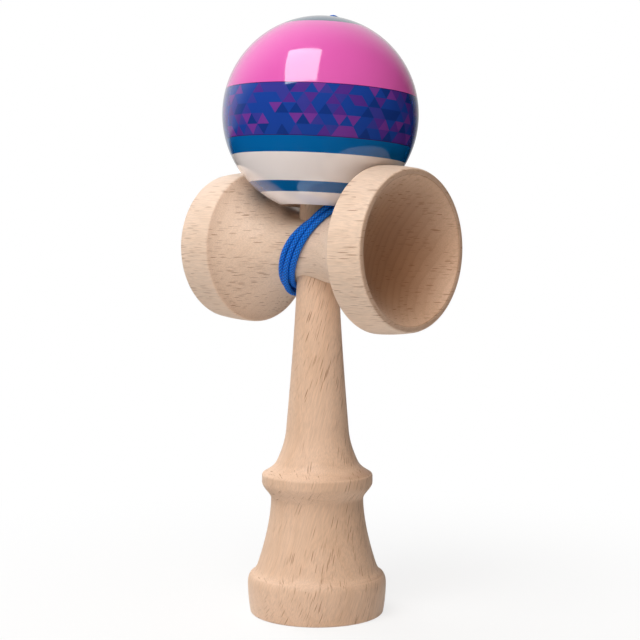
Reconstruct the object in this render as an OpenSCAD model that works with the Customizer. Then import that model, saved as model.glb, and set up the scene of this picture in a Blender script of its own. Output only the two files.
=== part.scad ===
// Kendama with its ball parked on the spike and its string wound round the crosspiece.
// The ken stands on the rim of its base cup at the origin, +Z is up and the big cup faces +X.
// All sizes are in millimetres and all angles in degrees.

/* [Ken base] */
// Widest diameter of the base drum
base_d = 43; // [40:0.5:47]
// Diameter of the foot, where the drum meets the table
foot_d = 41.5; // [38:0.5:43]
// Rounding of the foot's outer edge
foot_round = 0.8; // [0.4:0.1:2]
// Height of the base drum, up to the start of the flare
drum_h = 13; // [10:0.5:18]
// Height of the drum's rounded shoulder
shoulder_h = 3.6; // [2:0.1:6]
// Width that the drum's shoulder rounds in
shoulder_w = 2.35; // [1:0.05:4]
// Width of the flat rim round the base cup
base_rim_w = 2; // [1:0.1:3]
// Depth of the base cup
base_cup_depth = 8; // [6.5:0.5:12]

/* [Ken handle] */
// Height of the flare between the drum and the neck
flare_h = 22.6; // [15:0.2:32]
// Diameter of the neck under the collar
neck_d = 28.6; // [24:0.2:32]
// Height of the cove that rises from the neck to the collar
cove_h = 5.2; // [3:0.1:9]
// Diameter of the collar
collar_d = 34.3; // [31:0.1:38]
// Height of the collar's straight band
collar_h = 2.9; // [1.5:0.1:6]
// Rounding of the collar's upper edge
collar_round = 0.6; // [0.2:0.1:1.2]
// Diameter of the grip's taper where it leaves the collar
grip_d = 21.8; // [18:0.2:25]
// Width of the cove at the grip's heel
heel_w = 3.6; // [1.5:0.1:4.5]
// Height of the cove at the grip's heel
heel_h = 13; // [8:0.5:20]
// Height of the crosspiece's axis above the collar
handle_l = 69.3; // [60:0.5:85]

/* [Ken spike] */
// Diameter of the tapered seat at the crosspiece's axis
seat_d = 12.3; // [11:0.1:13]
// Half angle of the tapered seat
seat_taper = 2.2; // [1:0.1:3]
// Radius of the spike's rounded tip
nose_r = 2.4; // [1.5:0.1:3]

/* [Crosspiece] */
// Length from the big cup's rim to the small cup's rim
sarado_l = 75; // [68:0.5:84]
// Diameter of the waist between the cups
waist_d = 20.8; // [20:0.1:21.6]
// Length of the straight part of the waist
waist_l = 6; // [4:0.5:10]
// Outer diameter of the big cup at its shoulder
big_shoulder_d = 50; // [46:0.2:53]
// Outer diameter of the big cup at its rim
big_rim_d = 48.3; // [44:0.1:52]
// Depth of the big cup
big_cup_depth = 13; // [10.5:0.5:16]
// Outer diameter of the small cup at its shoulder
small_shoulder_d = 47.4; // [43:0.2:50]
// Outer diameter of the small cup at its rim
small_rim_d = 45.8; // [42:0.1:49]
// Depth of the small cup
small_cup_depth = 11.5; // [9.5:0.5:15]
// Wall of both cups at the rim
cup_wall = 1.9; // [1.2:0.1:3]
// Rounding of the cups' shoulders and of the rims' outer edges
cup_round = 0.8; // [0.4:0.1:1.4]
// Diameter of the string hole in the waist
anchor_hole_d = 2.2; // [2:0.1:3]
// Diameter of the recess that holds the string's anchor knot
knot_recess_d = 5; // [4.6:0.1:6]

/* [Ball] */
// Diameter of the ball
tama_d = 60; // [56:0.5:64]
// Angle that the wound string makes the ball lean back
tama_lean = 3.9; // [0:0.1:5]
// Distance that the wound string pushes the ball back
tama_shift = 0.9; // [0:0.1:1]
// Diameter of the ball's bore inside its mouth
bore_d = 21; // [20:0.1:22]
// Half angle that the bore narrows by
bore_taper = 3; // [1:0.1:4]
// Depth of the bore from the mouth's edge, as a share of the ball's diameter
bore_depth_share = 0.64; // [0.6:0.01:0.67]
// Width of the bevel round the mouth
mouth_bevel = 0.45; // [0.2:0.05:1]
// Diameter of the string hole at the top
top_hole_d = 2.4; // [2:0.1:3]
// Diameter of the top hole's countersink
countersink_d = 8; // [6:0.2:10]
// Depth of the top hole's countersink below the ball's top
countersink_depth = 3; // [2:0.1:4]

/* [String and bead] */
// Diameter of the string
cord_d = 1.5; // [1.2:0.05:1.6]
// Distance between neighbouring turns at the front and the back of the waist
turn_pitch = 2.6; // [2.3:0.1:3]
// Diameter of the bead
bead_d = 8; // [6:0.1:9]
// Length of the bead
bead_l = 7; // [5:0.1:8]

/* [Colours] */
// Colour of the turned beech
beech_colour = "#DDBE9B"; // ["#DDBE9B":pale beech, "#C79A6B":dark beech]
// Colour of the string
string_colour = "#1E5BB8"; // ["#1E5BB8":blue, "#B82E2E":red]
// Colour of the bead
bead_colour = "#E8E4DA"; // ["#E8E4DA":white, "#30343A":black]

/* [Hidden] */

// Smoothness of round shapes, and the number of short steps in a turned curve
$fn = 96;
curve_steps = 12;
corner_steps = 5;
// How far a cut runs past the face that it opens
overrun = 1;

// Clearances
// Between the ken's tapered seat and the bore of the crosspiece
seat_gap = 0.05;
// Between the ball and the cups' shoulders that it rests on
rest_gap = 0.2;
// Between the string and the wood that it lies on
lay_gap = 0.25;
// Between the string and the ball that it lies on
ball_gap = 0.3;
// Between the string on the waist and the level of the ball's mouth
mouth_gap = 0.53;
// Between the spike's tip and the roof of the ball's bore
tip_gap = 2.6;
// Between the string and the ken that it passes
pass_gap = 0.55;
// Between the anchor knot and the ken
knot_gap = 0.3;
// Between the bead and the wall and the roof of its pocket
bead_gap = 0.6;
bead_roof_gap = 0.3;
// Between the string and the bead's hole
bead_hole_gap = 0.2;

// Powers of the ken's turned curves
foot_power = 2;
flare_power = 1.67;
grip_power = 1.25;
heel_power = 1.85;

// Radii and heights of the ken
base_r = base_d / 2;
foot_r = foot_d / 2;
belly_z = drum_h - shoulder_h;
flare_r = base_r - shoulder_w;
neck_r = neck_d / 2;
neck_z = drum_h + flare_h;
collar_r = collar_d / 2;
collar_z = neck_z + cove_h;
collar_top = collar_z + collar_h;
sarado_z = collar_top + handle_l;
base_cup_r = foot_r - foot_round - base_rim_w;

// Radii of the tapered seat, which reaches past the waist on both sides
waist_r = waist_d / 2;
seat_r = seat_d / 2;
seat_reach = waist_r + overrun;
seat_slope = tan(seat_taper);
seat_low_z = sarado_z - seat_reach;
seat_low_r = seat_r + seat_reach * seat_slope;
seat_high_z = sarado_z + seat_reach;
seat_high_r = seat_r - seat_reach * seat_slope;

// Heights along the ball's own axis, measured from its centre
tama_r = tama_d / 2;
mouth_r = bore_d / 2 + mouth_bevel;
mouth_h = -sqrt(tama_r * tama_r - mouth_r * mouth_r);
bore_slope = tan(bore_taper);
bore_top_h = mouth_h + bore_depth_share * tama_d;
bore_top_r = bore_d / 2 - (bore_top_h - mouth_h - mouth_bevel) * bore_slope;
bead_r = bead_d / 2;
bead_pocket_r = bead_r + bead_gap;
bead_inset = 1.6;
bead_low_h = bore_top_h + bead_inset;
bead_high_h = bead_low_h + bead_l;
pocket_top_h = bead_high_h + bead_roof_gap;
pole_h = tama_r;
tail_inset = 2;
tail_top_h = pole_h - countersink_depth - tail_inset;

// The ball's mouth stands just over the string on the waist, and the spike ends under the bore's roof
tama_lift = waist_r + lay_gap + cord_d + mouth_gap - mouth_h;
tama_z = sarado_z + tama_lift;
tip_z = tama_z + bore_top_h - tip_gap;

// The middle of each cup's shoulder lies where it carries the ball
big_shoulder_r = big_shoulder_d / 2;
small_shoulder_r = small_shoulder_d / 2;
big_shoulder_x = carry_x(big_shoulder_r);
small_shoulder_x = carry_x(small_shoulder_r);

// String and knots
cord_r = cord_d / 2;
anchor_knot_d = 4.2;
anchor_knot_l = 2.2;
end_knot_d = 4.4;
end_knot_l = 2.4;
recess_end_y = seat_r + seat_gap + anchor_knot_l + knot_gap;

// The winding lies in three turns, from the anchor hole at the back, over the top on the big cup's side
// of the spike, across the front and under on the small cup's side of the handle. The middle turn rides
// in the groove between the other two above and below the waist. It is counted in turns from the hole.
turn_count = 3;
rings_per_turn = 24;
winding_sides = 6;
run_sides = 8;
least_turn_gap = 0.4;
nest_pitch = 1.2;
nest_rise = 1.95;
nest_power = 0.9;
inner_turn_share = 0.75;
flatten_share = 0.067;
front_x = -0.6;
back_x = -turn_count / 2 * turn_pitch;
top_x = seat_r + pass_gap + cord_r + inner_turn_share * nest_pitch;
bottom_x = -(seat_low_r + pass_gap + cord_r + inner_turn_share * nest_pitch);
// Turns at which the string has come down onto the waist after it leaves the hole
lay_turns = 0.12;
lead_steps = 8;
lead_reach = 3.6;
lay_reach = 4.4;

// The string rises from the winding to the back of the ball, follows the ball round to its top and turns
// down into its hole. Its places on the ball are angles from the ball's top.
touch_angle = 126;
touch_x = -3.6;
lap_r = tama_r + cord_r + ball_gap;
over_reach = 5;
over_angle = asin(over_reach / lap_r);
rise_steps = 8;
rise_reach = 6;
touch_reach = 9;
lap_steps = 18;
dip_steps = 6;
dip_reach = 2.8;

// Small functions

// Distance from the ken's axis at which a rounded shoulder of this radius carries the ball
function carry_x(r) =
    let (reach = tama_r + rest_gap + cup_round)
    let (rise = tama_lift - r + cup_round)
    sqrt(reach * reach - rise * rise);
// A curve that leaves a steeply and settles at b
function settle(a, b, t, power) = b + (a - b) * pow(1 - t, power);
// A curve that leaves 0 and reaches 1 levelly
function level(t) = t * t * (3 - 2 * t);
function unit(v) = v / norm(v);
// Radius of the sphere that makes a cup of this rim radius and depth
function cup_sphere_r(r, depth) = (r * r + depth * depth) / (2 * depth);
// A point on the ball's leaning axis, at height h above its centre
function on_tama_axis(h) = [0, tama_shift + h * sin(tama_lean), tama_z + h * cos(tama_lean)];

// Outline of the ken, as points of radius and height from the foot to the tip
function grip_r(z) =
    let (t = (z - collar_top) / (seat_low_z - collar_top))
    let (heel = max(0, 1 - (z - collar_top) / heel_h))
    settle(grip_d / 2, seat_low_r, t, grip_power) + heel_w * pow(heel, heel_power);

ken_outline = concat(
    [[0, 0]],
    [for (i = [0:corner_steps])
        let (a = 90 * i / corner_steps)
        [foot_r - foot_round * (1 - sin(a)), foot_round * (1 - cos(a))]],
    [for (i = [1:corner_steps])
        let (t = i / corner_steps)
        [settle(foot_r, base_r, t, foot_power), foot_round + (belly_z - foot_round) * t]],
    [for (i = [1:corner_steps])
        let (a = 90 * i / corner_steps)
        [flare_r + shoulder_w * cos(a), belly_z + shoulder_h * sin(a)]],
    [for (i = [1:curve_steps])
        let (t = i / curve_steps)
        [settle(flare_r, neck_r, t, flare_power), drum_h + flare_h * t]],
    [for (i = [1:curve_steps])
        let (t = i / curve_steps)
        [neck_r + (collar_r - neck_r) * level(t), neck_z + cove_h * t]],
    [for (i = [0:corner_steps])
        let (a = 90 * i / corner_steps)
        [collar_r - collar_round * (1 - cos(a)), collar_top - collar_round * (1 - sin(a))]],
    [for (i = [0:curve_steps])
        let (z = collar_top + heel_h * i / curve_steps)
        [grip_r(z), z]],
    [for (i = [1:curve_steps])
        let (z = collar_top + heel_h + (seat_low_z - collar_top - heel_h) * i / curve_steps)
        [grip_r(z), z]],
    [[seat_high_r, seat_high_z]],
    [for (i = [0:corner_steps])
        let (a = 90 * i / corner_steps)
        [nose_r * cos(a), tip_z - nose_r * (1 - sin(a))]]
);

// Outline of one side of the crosspiece, as points of radius and distance from the ken's axis
function bell_wrap(x, r) = 2 * atan2(r - cup_round - waist_r, x - waist_l / 2);
function shoulder_edge(x, r) =
    let (a = 90 + bell_wrap(x, r))
    [r - cup_round + cup_round * sin(a), x + cup_round * cos(a)];
function bell_angle(x, r) =
    let (edge = shoulder_edge(x, r))
    2 * atan2(edge[0] - waist_r, edge[1] - waist_l / 2);
function bell_arc_r(x, r) = (shoulder_edge(x, r)[1] - waist_l / 2) / sin(bell_angle(x, r));
function cup_outline(x, r, rim_r) = concat(
    [for (i = [0:curve_steps])
        let (a = bell_angle(x, r) * i / curve_steps)
        [waist_r + bell_arc_r(x, r) * (1 - cos(a)), waist_l / 2 + bell_arc_r(x, r) * sin(a)]],
    [for (i = [1:corner_steps])
        let (a = 90 + bell_wrap(x, r) * (1 - i / corner_steps))
        [r - cup_round + cup_round * sin(a), x + cup_round * cos(a)]],
    [for (i = [1:corner_steps])
        let (t = i / corner_steps)
        [r - (r - rim_r) * t * t, x + (sarado_l / 2 - cup_round - x) * t]],
    [for (i = [1:corner_steps])
        let (a = 90 * i / corner_steps)
        [rim_r - cup_round * (1 - cos(a)), sarado_l / 2 - cup_round * (1 - sin(a))]]
);
big_outline = cup_outline(big_shoulder_x, big_shoulder_r, big_rim_d / 2);
small_outline = cup_outline(small_shoulder_x, small_shoulder_r, small_rim_d / 2);
function mirrored(points) = [for (i = [len(points) - 1:-1:0]) [points[i][0], -points[i][1]]];
sarado_outline = concat([[0, -sarado_l / 2]], mirrored(small_outline), big_outline, [[0, sarado_l / 2]]);

// Radius of the waist and of the bells beside it at distance x from the ken's axis
function side_r(x, shoulder_x, shoulder_r) =
    let (run = max(0, abs(x) - waist_l / 2))
    let (arc = bell_arc_r(shoulder_x, shoulder_r))
    waist_r + arc - sqrt(arc * arc - run * run);
function waist_surface_r(x) =
    x > 0 ? side_r(x, big_shoulder_x, big_shoulder_r) : side_r(x, small_shoulder_x, small_shoulder_r);

// Place and direction of the string on the ball at an angle from the ball's top
function lap_point(a) =
    let (x = touch_x * (a - over_angle) / (touch_angle - over_angle))
    let (r = sqrt(lap_r * lap_r - x * x))
    [x, tama_shift + r * sin(a + tama_lean), tama_z + r * cos(a + tama_lean)];
function lap_direction(a) = unit(lap_point(a - 1) - lap_point(a + 1));

// Place of the string's middle line after a number of turns from the anchor hole
function turn_x(turns) =
    let (a = 360 * turns)
    let (across = (sin(a) - flatten_share * sin(3 * a)) / (1 + flatten_share))
    let (up = sin(a) * sin(a))
    let (pitch = nest_pitch * up + turn_pitch * (1 - up))
    (top_x + bottom_x) / 2 * up + (top_x - bottom_x) / 2 * across
    + (back_x + front_x) / 2 * (1 - up) + (back_x - front_x) / 2 * cos(a)
    + (turn_count / 2 - turns) * pitch;
function turn_rise(turns) =
    turns > 1 && turns < 2 ? nest_rise * pow(abs(sin(360 * turns)), nest_power) : 0;
function turn_point(turns) =
    let (x = turn_x(turns))
    let (r = waist_surface_r(x) + lay_gap + cord_r + turn_rise(turns))
    [x, r * cos(360 * turns), sarado_z + r * sin(360 * turns)];
function turn_direction(turns) =
    let (step = 1 / rings_per_turn / 8)
    unit(turn_point(turns + step) - turn_point(turns - step));
function bezier(a, b, c, d, t) =
    a * pow(1 - t, 3) + b * 3 * t * pow(1 - t, 2) + c * 3 * t * t * (1 - t) + d * pow(t, 3);

hole_mouth = [0, waist_r + lay_gap, sarado_z];
lay_point = turn_point(lay_turns);
lead_points = concat(
    [[0, recess_end_y, sarado_z]],
    [for (i = [0:lead_steps - 1])
        bezier(hole_mouth, hole_mouth + [0, lead_reach, 0],
            lay_point - lay_reach * turn_direction(lay_turns), lay_point, i / lead_steps)]
);
last_ring = rings_per_turn * turn_count;
loop_points = [for (i = [round(lay_turns * rings_per_turn):last_ring]) turn_point(i / rings_per_turn)];
winding_end = turn_point(turn_count) + cord_d * turn_direction(turn_count);
winding_points = concat(lead_points, loop_points, [winding_end]);
run_start = winding_end + cord_d * turn_direction(turn_count);
tail_top = on_tama_axis(tail_top_h);
run_end = on_tama_axis(tail_top_h + cord_d);
up_tama = unit(run_end - tail_top);
rise_points = [for (i = [0:rise_steps - 1])
    bezier(run_start, run_start + rise_reach * turn_direction(turn_count),
        lap_point(touch_angle) - touch_reach * lap_direction(touch_angle), lap_point(touch_angle),
        i / rise_steps)];
lap_points = [for (i = [0:lap_steps]) lap_point(touch_angle + (over_angle - touch_angle) * i / lap_steps)];
dip_points = [for (i = [1:dip_steps - 1])
    bezier(lap_point(over_angle), lap_point(over_angle) + dip_reach * lap_direction(over_angle),
        run_end + dip_reach * up_tama, run_end, i / dip_steps)];
run_points = concat([winding_end], rise_points, lap_points, dip_points, [run_end, tail_top]);

// Least distance between two turns of the winding, less the string's own diameter
turn_gap = min([for (i = [0:len(winding_points) - 1], j = [i + 1:len(winding_points) - 1])
    if (j - i > rings_per_turn / 3) norm(winding_points[i] - winding_points[j])]) - cord_d;
echo(turn_gap = turn_gap, enough = turn_gap > least_turn_gap);

// A tube along points: each ring stands square to the path, and its sides turn as little as they can
function path_direction(points, i) =
    i == 0 ? unit(points[1] - points[0])
    : i == len(points) - 1 ? unit(points[i] - points[i - 1])
    : unit(unit(points[i + 1] - points[i]) + unit(points[i] - points[i - 1]));
function square_to(v, direction) = unit(v - (v * direction) * direction);
function path_normals(points, i, last) =
    i == len(points) ? []
    : let (n = square_to(last, path_direction(points, i))) concat([n], path_normals(points, i + 1, n));
function ring(centre, direction, normal, r, sides) =
    let (side = cross(direction, normal))
    [for (k = [0:sides - 1])
        let (a = 360 * k / sides)
        centre + r * (cos(a) * normal + sin(a) * side)];

module tube(points, d, sides, first_normal) {
    normals = path_normals(points, 0, first_normal);
    rings = [for (i = [0:len(points) - 1])
        each ring(points[i], path_direction(points, i), normals[i], d / 2, sides)];
    last = (len(points) - 1) * sides;
    walls = [for (i = [0:len(points) - 2], k = [0:sides - 1])
        let (a = i * sides + k)
        let (b = i * sides + (k + 1) % sides)
        each [[a, a + sides, b], [b, a + sides, b + sides]]];
    start_cap = [for (k = [1:sides - 2]) [0, k, k + 1]];
    end_cap = [for (k = [1:sides - 2]) [last, last + k + 1, last + k]];
    polyhedron(rings, concat(walls, start_cap, end_cap));
}

// A short round knot along +Z from the origin, with flat ends and rounded sides
module knot(d, l) {
    rotate_extrude() {
        square([(d - l) / 2, l]);
        intersection() {
            translate([(d - l) / 2, l / 2]) circle(l / 2);
            square([d, l]);
        }
    }
}

// A ball that hollows a cup of this rim radius and depth, opening along +Z at the origin
module cup_hollow(r, depth) {
    sphere_r = cup_sphere_r(r, depth);
    translate([0, 0, sphere_r - depth]) sphere(sphere_r);
}

module on_tama() {
    translate([0, tama_shift, tama_z]) rotate([-tama_lean, 0, 0]) children();
}

// Handle with its base cup below and its spike above, turned from one piece
module ken() {
    color(beech_colour)
        difference() {
            rotate_extrude() polygon(ken_outline);
            rotate([180, 0, 0]) cup_hollow(base_cup_r, base_cup_depth);
        }
}

// Crosspiece with the big and the small cup, which slides down over the spike onto its tapered seat
module sarado() {
    color(beech_colour)
        translate([0, 0, sarado_z])
            difference() {
                rotate([0, 90, 0]) rotate_extrude() polygon(sarado_outline);
                translate([sarado_l / 2, 0, 0])
                    rotate([0, 90, 0]) cup_hollow(big_rim_d / 2 - cup_wall, big_cup_depth);
                translate([-sarado_l / 2, 0, 0])
                    rotate([0, -90, 0]) cup_hollow(small_rim_d / 2 - cup_wall, small_cup_depth);
                translate([0, 0, -seat_reach])
                    cylinder(2 * seat_reach, seat_low_r + seat_gap, seat_high_r + seat_gap);
                rotate([-90, 0, 0]) cylinder(seat_reach, d = anchor_hole_d);
                rotate([-90, 0, 0]) cylinder(recess_end_y, d = knot_recess_d);
            }
}

// Ball with a bevelled bore for the spike, a pocket for the bead and a countersunk string hole
module tama() {
    color("#F07BC4")
        on_tama()
            difference() {
                sphere(tama_r);
                translate([0, 0, mouth_h - overrun / 2 - tama_r])
                    cylinder(tama_r, r = mouth_r + overrun);
                translate([0, 0, mouth_h - overrun])
                    cylinder(overrun + mouth_bevel, mouth_r + overrun, bore_d / 2);
                translate([0, 0, mouth_h])
                    cylinder(bore_top_h - mouth_h, bore_d / 2 + mouth_bevel * bore_slope, bore_top_r);
                translate([0, 0, mouth_h])
                    cylinder(pocket_top_h - mouth_h, r = bead_pocket_r);
                translate([0, 0, mouth_h])
                    cylinder(tama_r + overrun - mouth_h, d = top_hole_d);
                translate([0, 0, pole_h - countersink_depth])
                    cylinder(countersink_depth, top_hole_d / 2, countersink_d / 2);
            }
}

// Knot that holds the string inside the crosspiece
module anchor_knot() {
    color(string_colour)
        translate([0, recess_end_y, sarado_z])
            rotate([90, 0, 0]) knot(anchor_knot_d, anchor_knot_l);
}

// Turns of the string round the waist
module string_winding() {
    color(string_colour) tube(winding_points, cord_d, winding_sides, [1, 0, 0]);
}

// String from the winding up the back of the ball to its top hole
module string_run() {
    color(string_colour) tube(run_points, cord_d, run_sides, [1, 0, 0]);
}

// String inside the ball, from the top hole down through the bead
module string_tail() {
    color(string_colour)
        on_tama() translate([0, 0, bead_low_h]) cylinder(tail_top_h - bead_low_h, d = cord_d);
}

// Bead that stops the string from being drawn out of the ball
module bead() {
    color(bead_colour)
        on_tama()
            translate([0, 0, bead_low_h])
                difference() {
                    cylinder(bead_l, d = bead_d);
                    translate([0, 0, -overrun])
                        cylinder(bead_l + 2 * overrun, r = cord_r + bead_hole_gap);
                }
}

// Knot under the bead
module end_knot() {
    color(string_colour)
        on_tama() translate([0, 0, bead_low_h - end_knot_l]) knot(end_knot_d, end_knot_l);
}

ken();
sarado();
tama();
anchor_knot();
string_winding();
string_run();
string_tail();
bead();
end_knot();
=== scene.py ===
"""Dresses the kendama's frame: turned beech, a lacquered ball and a braided string round the crosspiece."""

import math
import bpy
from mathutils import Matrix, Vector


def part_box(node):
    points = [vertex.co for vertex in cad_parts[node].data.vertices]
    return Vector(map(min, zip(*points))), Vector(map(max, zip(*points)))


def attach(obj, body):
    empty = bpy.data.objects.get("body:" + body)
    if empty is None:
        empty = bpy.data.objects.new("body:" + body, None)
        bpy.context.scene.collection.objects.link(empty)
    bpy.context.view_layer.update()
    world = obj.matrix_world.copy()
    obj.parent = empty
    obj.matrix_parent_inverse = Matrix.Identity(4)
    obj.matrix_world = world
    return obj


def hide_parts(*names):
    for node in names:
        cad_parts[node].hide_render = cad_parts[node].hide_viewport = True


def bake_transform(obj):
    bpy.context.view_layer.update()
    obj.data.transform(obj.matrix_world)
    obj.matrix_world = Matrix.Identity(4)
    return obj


bl_info = {
    "name": "Kendama",
    "version": (1, 0, 0),
    "blender": (4, 5, 0),
    "location": "3D View > Sidebar > Kendama",
    "description": "Makes a kendama's turned wood, lacquered ball and wound string round its frame",
    "category": "Add Mesh",
}

import bpy
from mathutils import Matrix, Vector

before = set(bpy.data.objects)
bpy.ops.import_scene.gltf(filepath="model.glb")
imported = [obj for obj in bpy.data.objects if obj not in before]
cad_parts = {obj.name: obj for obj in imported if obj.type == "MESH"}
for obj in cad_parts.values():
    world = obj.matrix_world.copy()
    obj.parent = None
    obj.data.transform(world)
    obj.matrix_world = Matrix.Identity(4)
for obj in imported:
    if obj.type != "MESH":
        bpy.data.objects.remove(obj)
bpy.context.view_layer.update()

# The crosspiece's place and length and the height of the spike's tip, as the frame has them
SARADO_LOW, SARADO_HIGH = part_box("sarado")
SARADO_Z = (SARADO_LOW.z + SARADO_HIGH.z) / 2
SARADO_LENGTH = SARADO_HIGH.x - SARADO_LOW.x
KEN_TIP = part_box("ken")[1].z


def number(name, description, default, **limits):
    """A number that a user may change."""
    return bpy.props.FloatProperty(name=name, description=description, default=default, **limits)


def length(name, description, default):
    """A size in metres."""
    return number(name, description, default, min=0.0, precision=5, unit="LENGTH", subtype="DISTANCE")


def angle(name, description, degrees):
    """An angle, given here in degrees."""
    return number(name, description, math.radians(degrees), unit="ROTATION", subtype="ANGLE")


def power(name, description, default):
    """A lamp's power."""
    return number(name, description, default, min=0.0, unit="POWER")


def colour(name, description, default):
    """A scene-linear colour."""
    return bpy.props.FloatVectorProperty(
        name=name, description=description, default=default, size=3, min=0.0, max=1.0, subtype="COLOR"
    )


class KenSettings(bpy.types.PropertyGroup):
    """Sizes of the ken: its base, its handle and its spike."""

    base_d: length("Base", "Widest diameter of the base drum", 0.043)
    foot_d: length("Foot", "Diameter of the foot", 0.0415)
    foot_round: length("Foot rounding", "Rounding of the foot's outer edge", 0.0008)
    drum_h: length("Drum height", "Height of the base drum", 0.013)
    shoulder_h: length("Shoulder height", "Height of the drum's rounded shoulder", 0.0036)
    shoulder_w: length("Shoulder width", "Width that the drum's shoulder rounds in", 0.00235)
    rim_w: length("Rim", "Width of the flat rim round the base cup", 0.002)
    cup_depth: length("Base cup", "Depth of the base cup", 0.008)
    flare_h: length("Flare", "Height of the flare between the drum and the neck", 0.0226)
    neck_d: length("Neck", "Diameter of the neck under the collar", 0.0286)
    cove_h: length("Cove", "Height of the cove under the collar", 0.0052)
    collar_d: length("Collar", "Diameter of the collar", 0.0343)
    collar_h: length("Collar height", "Height of the collar's straight band", 0.0029)
    collar_round: length("Collar rounding", "Rounding of the collar's upper edge", 0.0009)
    collar_slope: angle("Collar slope", "Slope of the collar's top where it leaves the edge", 30.0)
    lip_h: length("Lip height", "Height over which the collar's top runs into the heel", 0.0033)
    flare_ease: length("Flare easing", "Reach of the soft corner between the drum and the flare", 0.0015)
    grip_d: length("Grip", "Diameter of the grip's taper where it leaves the collar", 0.0218)
    heel_w: length("Heel width", "Width of the cove at the grip's heel", 0.0036)
    heel_h: length("Heel height", "Height of the cove at the grip's heel", 0.013)
    seat_d: length("Seat", "Diameter of the tapered seat at the crosspiece's axis", 0.0123)
    seat_taper: angle("Seat taper", "Half angle of the tapered seat", 2.2)
    nose_r: length("Spike's nose", "Radius of the spike's rounded tip", 0.0024)


class CrosspieceSettings(bpy.types.PropertyGroup):
    """Sizes of the crosspiece and its two cups."""

    waist_d: length("Waist", "Diameter of the waist between the cups", 0.0208)
    waist_l: length("Waist length", "Length of the straight part of the waist", 0.006)
    big_shoulder_d: length("Big shoulder", "Diameter of the big cup's shoulder", 0.05)
    big_shoulder_x: length("Big shoulder's place", "From the ken's axis to the big shoulder", 0.0263)
    big_rim_d: length("Big rim", "Diameter of the big cup at its rim", 0.0483)
    big_cup_depth: length("Big cup", "Depth of the big cup", 0.013)
    small_shoulder_d: length("Small shoulder", "Diameter of the small cup's shoulder", 0.0474)
    small_shoulder_x: length("Small shoulder's place", "From the ken's axis to the small shoulder", 0.025443)
    small_rim_d: length("Small rim", "Diameter of the small cup at its rim", 0.0458)
    small_cup_depth: length("Small cup", "Depth of the small cup", 0.0115)
    cup_wall: length("Cup wall", "Wall of both cups at the rim", 0.0019)
    cup_round: length("Edge rounding", "Rounding of the shoulders and of the rims' outer edges", 0.0008)
    seat_gap: length("Seat gap", "Clearance between the tapered seat and its bore", 0.00005)
    hole_d: length("String hole", "Diameter of the string hole in the waist", 0.0022)
    recess_d: length("Knot recess", "Diameter of the recess for the anchor knot", 0.005)
    recess_y: length("Recess depth", "From the ken's axis to the recess's end", 0.0087)


class BallSettings(bpy.types.PropertyGroup):
    """Sizes, lacquer bands and colours of the ball."""

    width: length("Ball", "Diameter of the ball", 0.06)
    lean: angle("Lean", "Angle that the wound string makes the ball lean back", 3.9)
    shift: length("Shift", "Distance that the wound string pushes the ball back", 0.0009)
    centre_z: length("Height", "Height of the ball's centre", 0.15361)
    bore_d: length("Bore", "Diameter of the bore inside its mouth", 0.021)
    bore_taper: angle("Bore taper", "Half angle that the bore narrows by", 3.0)
    bore_depth: length("Bore depth", "Depth of the bore from the mouth's edge", 0.0384)
    bevel: length("Mouth bevel", "Width of the bevel round the mouth", 0.00045)
    hole_d: length("String hole", "Diameter of the string hole at the top", 0.0024)
    countersink_d: length("Countersink", "Diameter of the top hole's countersink", 0.008)
    countersink_depth: length("Countersink depth", "Depth of the countersink below the ball's top", 0.003)
    pocket_d: length("Bead pocket", "Diameter of the pocket for the bead", 0.0092)
    pocket_top: length("Pocket's roof", "Height of the bead pocket's roof above the ball's centre", 0.01937)
    cap_edge: length("Cap band", "Lower edge of the cap, above the ball's centre", 0.0265)
    pink_edge: length("Pink band", "Lower edge of the pink band, above the ball's centre", 0.0062)
    mosaic_edge: length("Mosaic band", "Lower edge of the mosaic band, below the ball's centre", 0.00892)
    blue_edge: length("Blue band", "Lower edge of the blue band, below the ball's centre", 0.01368)
    white_edge: length("White band", "Lower edge of the white band, below the ball's centre", 0.02153)
    stripe_edge: length("Stripe", "Lower edge of the stripe, below the ball's centre", 0.02452)
    cap: colour("Cap colour", "Lacquer of the cap round the string hole", (0.05, 0.11, 0.19))
    pink: colour("Pink", "Lacquer of the upper band", (0.76, 0.125, 0.49))
    mosaic_blue: colour("Mosaic blue", "Ground of the mosaic band", (0.012, 0.056, 0.35))
    mosaic_purple: colour("Mosaic purple", "Second colour of the mosaic band", (0.085, 0.030, 0.28))
    blue: colour("Blue", "Lacquer of the plain blue band", (0.0, 0.130, 0.42))
    white: colour("White", "Lacquer of the white bands", (0.89, 0.84, 0.84))
    stripe: colour("Stripe colour", "Lacquer of the lower stripe", (0.0, 0.115, 0.35))


class BeechSettings(bpy.types.PropertyGroup):
    """Colours and figure of the beech."""

    ken_pale: colour("Ken, pale", "Early wood of the ken, the hollows and the ball", (0.76, 0.54, 0.395))
    ken_warm: colour("Ken, warm", "Late wood of the ken, the hollows and the ball", (0.66, 0.435, 0.285))
    cross_pale: colour("Crosspiece, pale", "Early wood outside the crosspiece", (0.80, 0.625, 0.495))
    cross_warm: colour("Crosspiece, warm", "Late wood outside the crosspiece", (0.72, 0.53, 0.395))
    fleck: colour("Flecks", "Colour of the short flecks along the grain", (0.29, 0.125, 0.055))
    # The end grain's colour is set dark enough to stand partly for painted shade in the cups' hollows.
    end_grain: colour("End grain", "Colour of the wood cut across its grain", (0.42, 0.21, 0.105))
    ring_width: length("Growth rings", "Width of a growth ring", 0.0024)
    fleck_length: length("Fleck length", "Spacing of the flecks along the grain", 0.0062)
    fleck_width: length("Fleck width", "Spacing of the flecks along the growth rings", 0.00033)
    fleck_depth: length("Fleck depth", "Spacing of the flecks across the growth rings", 0.0030)


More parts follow.
